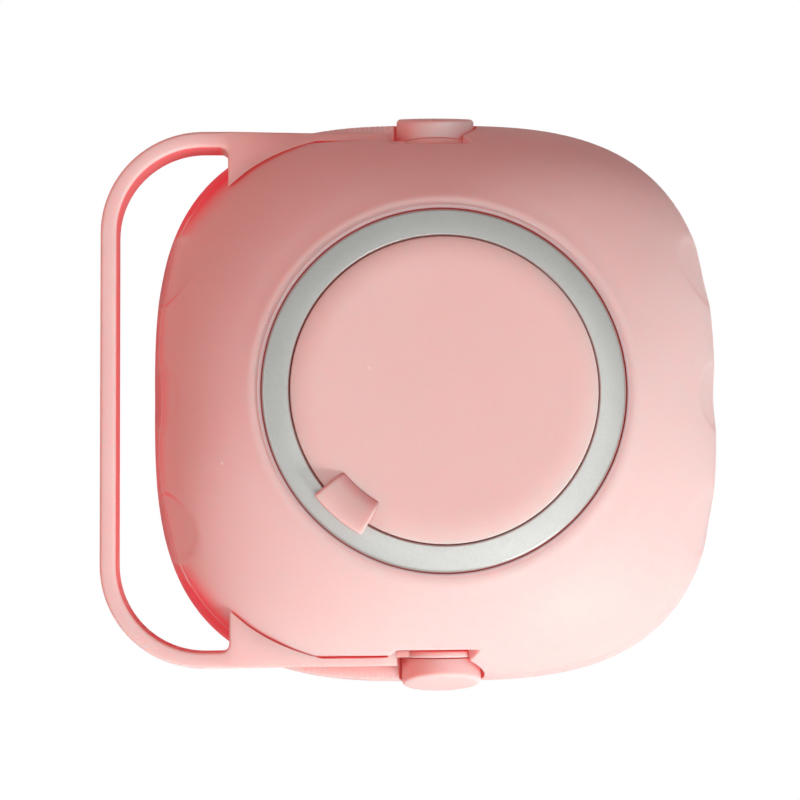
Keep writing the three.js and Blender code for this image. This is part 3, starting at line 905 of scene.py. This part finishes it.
# ---------------------------------------------------------------- studs
def make_stud(side, label, node):
    """Head laid back along the dome, neck through the eye and mushroom root in the wall."""
    bm = bmesh.new()
    face = [(0, 0.0), (2.5, -0.02), (4.2, -0.07)]
    edge = rounded([(4.2, -0.07, 0), (HEAD_R, -0.14, 0.6), (HEAD_R, -5, 0)], 6)[1:]
    verts = spun(bm, face + edge + [(0, -5)], 128, closed=False)
    turned_to_y(bm, verts, side, tilt=HEAD_TILT, at=(0, HEAD_Y, STUD_Z))
    geometry = bm.verts[:] + bm.edges[:] + bm.faces[:]
    bmesh.ops.bisect_plane(
        bm, geom=geometry, plane_co=(0, side * HEAD_SEAT_Y, 0), plane_no=(0, -side, 0), clear_outer=True,
    )
    bmesh.ops.holes_fill(bm, edges=[e for e in bm.edges if e.is_boundary], sides=0)
    length = HEAD_SEAT_Y + 0.3 - STUD_ROOT_Y
    shaft = rounded([
        (0, 0, 0), (STUD_ROOT_R, 0, 0.4), (STUD_ROOT_R, 1.4, 0.3), (STUD_NECK_R, 1.4, 0.2),
        (STUD_NECK_R, length, 0), (0, length, 0),
    ], 3)
    verts = spun(bm, shaft, 48, closed=False)
    turned_to_y(bm, verts, side, at=(0, STUD_ROOT_Y, STUD_Z))
    finished("stud_" + label, bm, "brush_body", BODY_SKIN, [node], sharp=50)


# ---------------------------------------------------------------- floor, lights and camera
def make_floor():
    """A pale floor that is plain white to the camera and lights the brush softly from below."""
    bm = bmesh.new()
    bmesh.ops.create_grid(bm, x_segments=1, y_segments=1, size=3)
    mesh = bpy.data.meshes.new("pale_floor")
    bm.to_mesh(mesh)
    bm.free()
    material, g, surface, place = shader("pale_floor_paint")
    tone = g.ramp(g.noise(place, 3.0, 2.0), 0.3, 0.7)
    g.join(g.mixed(tone, (0.62, 0.6, 0.6, 1), (0.66, 0.64, 0.64, 1)), surface.inputs["Base Color"])
    surface.inputs["Roughness"].default_value = 0.8
    glow = g.add("ShaderNodeEmission", {"Color": (1, 1, 1, 1), "Strength": 1.0})
    seen = g.add("ShaderNodeLightPath").outputs["Is Camera Ray"]
    shown = g.add("ShaderNodeMixShader", {0: seen, 1: surface.outputs[0], 2: glow.outputs[0]})
    g.join(shown.outputs[0], material.node_tree.nodes["Material Output"].inputs["Surface"])
    mesh.materials.append(material)
    floor = bpy.data.objects.new("pale_floor", mesh)
    bpy.context.scene.collection.objects.link(floor)


def make_area_light(name, place, size, power, colour=(1, 1, 1)):
    data = bpy.data.lights.new(name, "AREA")
    data.shape = "DISK"
    data.size = size
    data.energy = power
    data.color = colour
    lamp = bpy.data.objects.new(name, data)
    lamp.location = place
    lamp.rotation_euler = (Vector((0, 0, 0.03)) - Vector(place)).to_track_quat("-Z", "Y").to_euler()
    bpy.context.scene.collection.objects.link(lamp)


def make_studio():
    make_floor()
    make_area_light("key_light", (0.34, -0.49, 0.37), 0.18, 3.6, (1.0, 0.985, 0.97))
    make_area_light("top_light", (0.15, -0.15, 0.9), 0.5, 2.05)
    make_area_light("fill_light", (-0.6, -0.05, 0.5), 0.5, 1.7, (1.0, 0.97, 0.96))
    world = bpy.data.worlds.new("soft_studio")
    world.use_nodes = True
    world.node_tree.nodes["Background"].inputs["Color"].default_value = (1, 1, 1, 1)
    world.node_tree.nodes["Background"].inputs["Strength"].default_value = 0.31
    bpy.context.scene.world = world


CAMERA_ROLL = -0.010


def make_camera():
    """Looks straight down on the lid, from a little in front of it and to the left."""
    place = Vector((-19.1, -25.7, 324)) * MM
    aim = Vector((-5.76, -0.33, 32)) * MM
    data = bpy.data.cameras.new("main_camera")
    data.lens = 88.94
    data.sensor_width = 36
    data.clip_start = 0.01
    camera = bpy.data.objects.new("main_camera", data)
    camera.location = place
    back = (place - aim).normalized()
    right = Vector((0, 1, 0)).cross(back).normalized()
    turn = Matrix((right, back.cross(right), back)).transposed()
    turn = turn @ Matrix.Rotation(CAMERA_ROLL, 3, "Z")
    camera.rotation_euler = turn.to_euler()
    bpy.context.scene.collection.objects.link(camera)
    bpy.context.scene.camera = camera
    bpy.context.scene.view_settings.view_transform = "Standard"


make_camera()
make_studio()
make_upper_shell()
make_pad()
make_soap_holes()
make_ring()
make_sleeve()
make_seal()
make_lid()
make_tab()
make_strap()
for side, label, node in ((1, "back", "strap_stud_back"), (-1, "front", "strap_stud_front")):
    make_stud(side, label, node)
    make_stud_boss(side, label)
